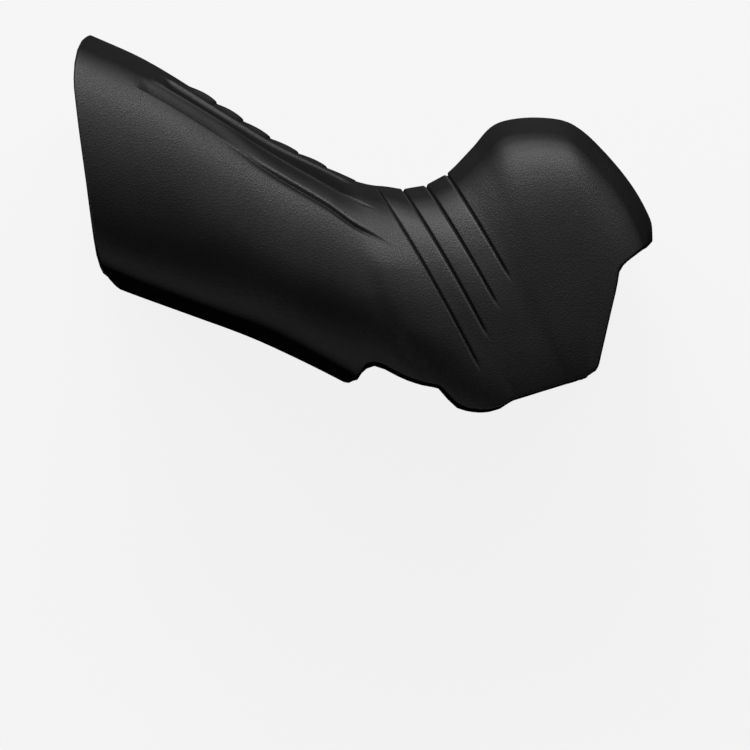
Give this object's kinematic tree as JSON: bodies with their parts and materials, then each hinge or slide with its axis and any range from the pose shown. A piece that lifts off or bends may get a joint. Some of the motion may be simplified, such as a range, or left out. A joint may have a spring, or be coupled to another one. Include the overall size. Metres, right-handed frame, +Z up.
{
  "type": "brake lever hood",
  "caption": "Moulded rubber hood for a drop-bar hydraulic brake lever: a hollow grip sleeve with a raised nose, finger grooves and an open mouth for the lever blade.",
  "frame": {"origin": "centre of the bounding box's bottom face, on the surface that the hood lies on", "axes": "+X from the rear mouth to the nose, +Y from the belly to the ridge, +Z up, out of the side that shows; the hood lies on its other side"},
  "size_m": [0.1032, 0.0678, 0.0347],
  "materials": {
    "rubber": "matte black moulded rubber with a fine leathery grain"
  },
  "bodies": {
    "root": {"lever_hood": "rubber"}
  },
  "joints": []
}
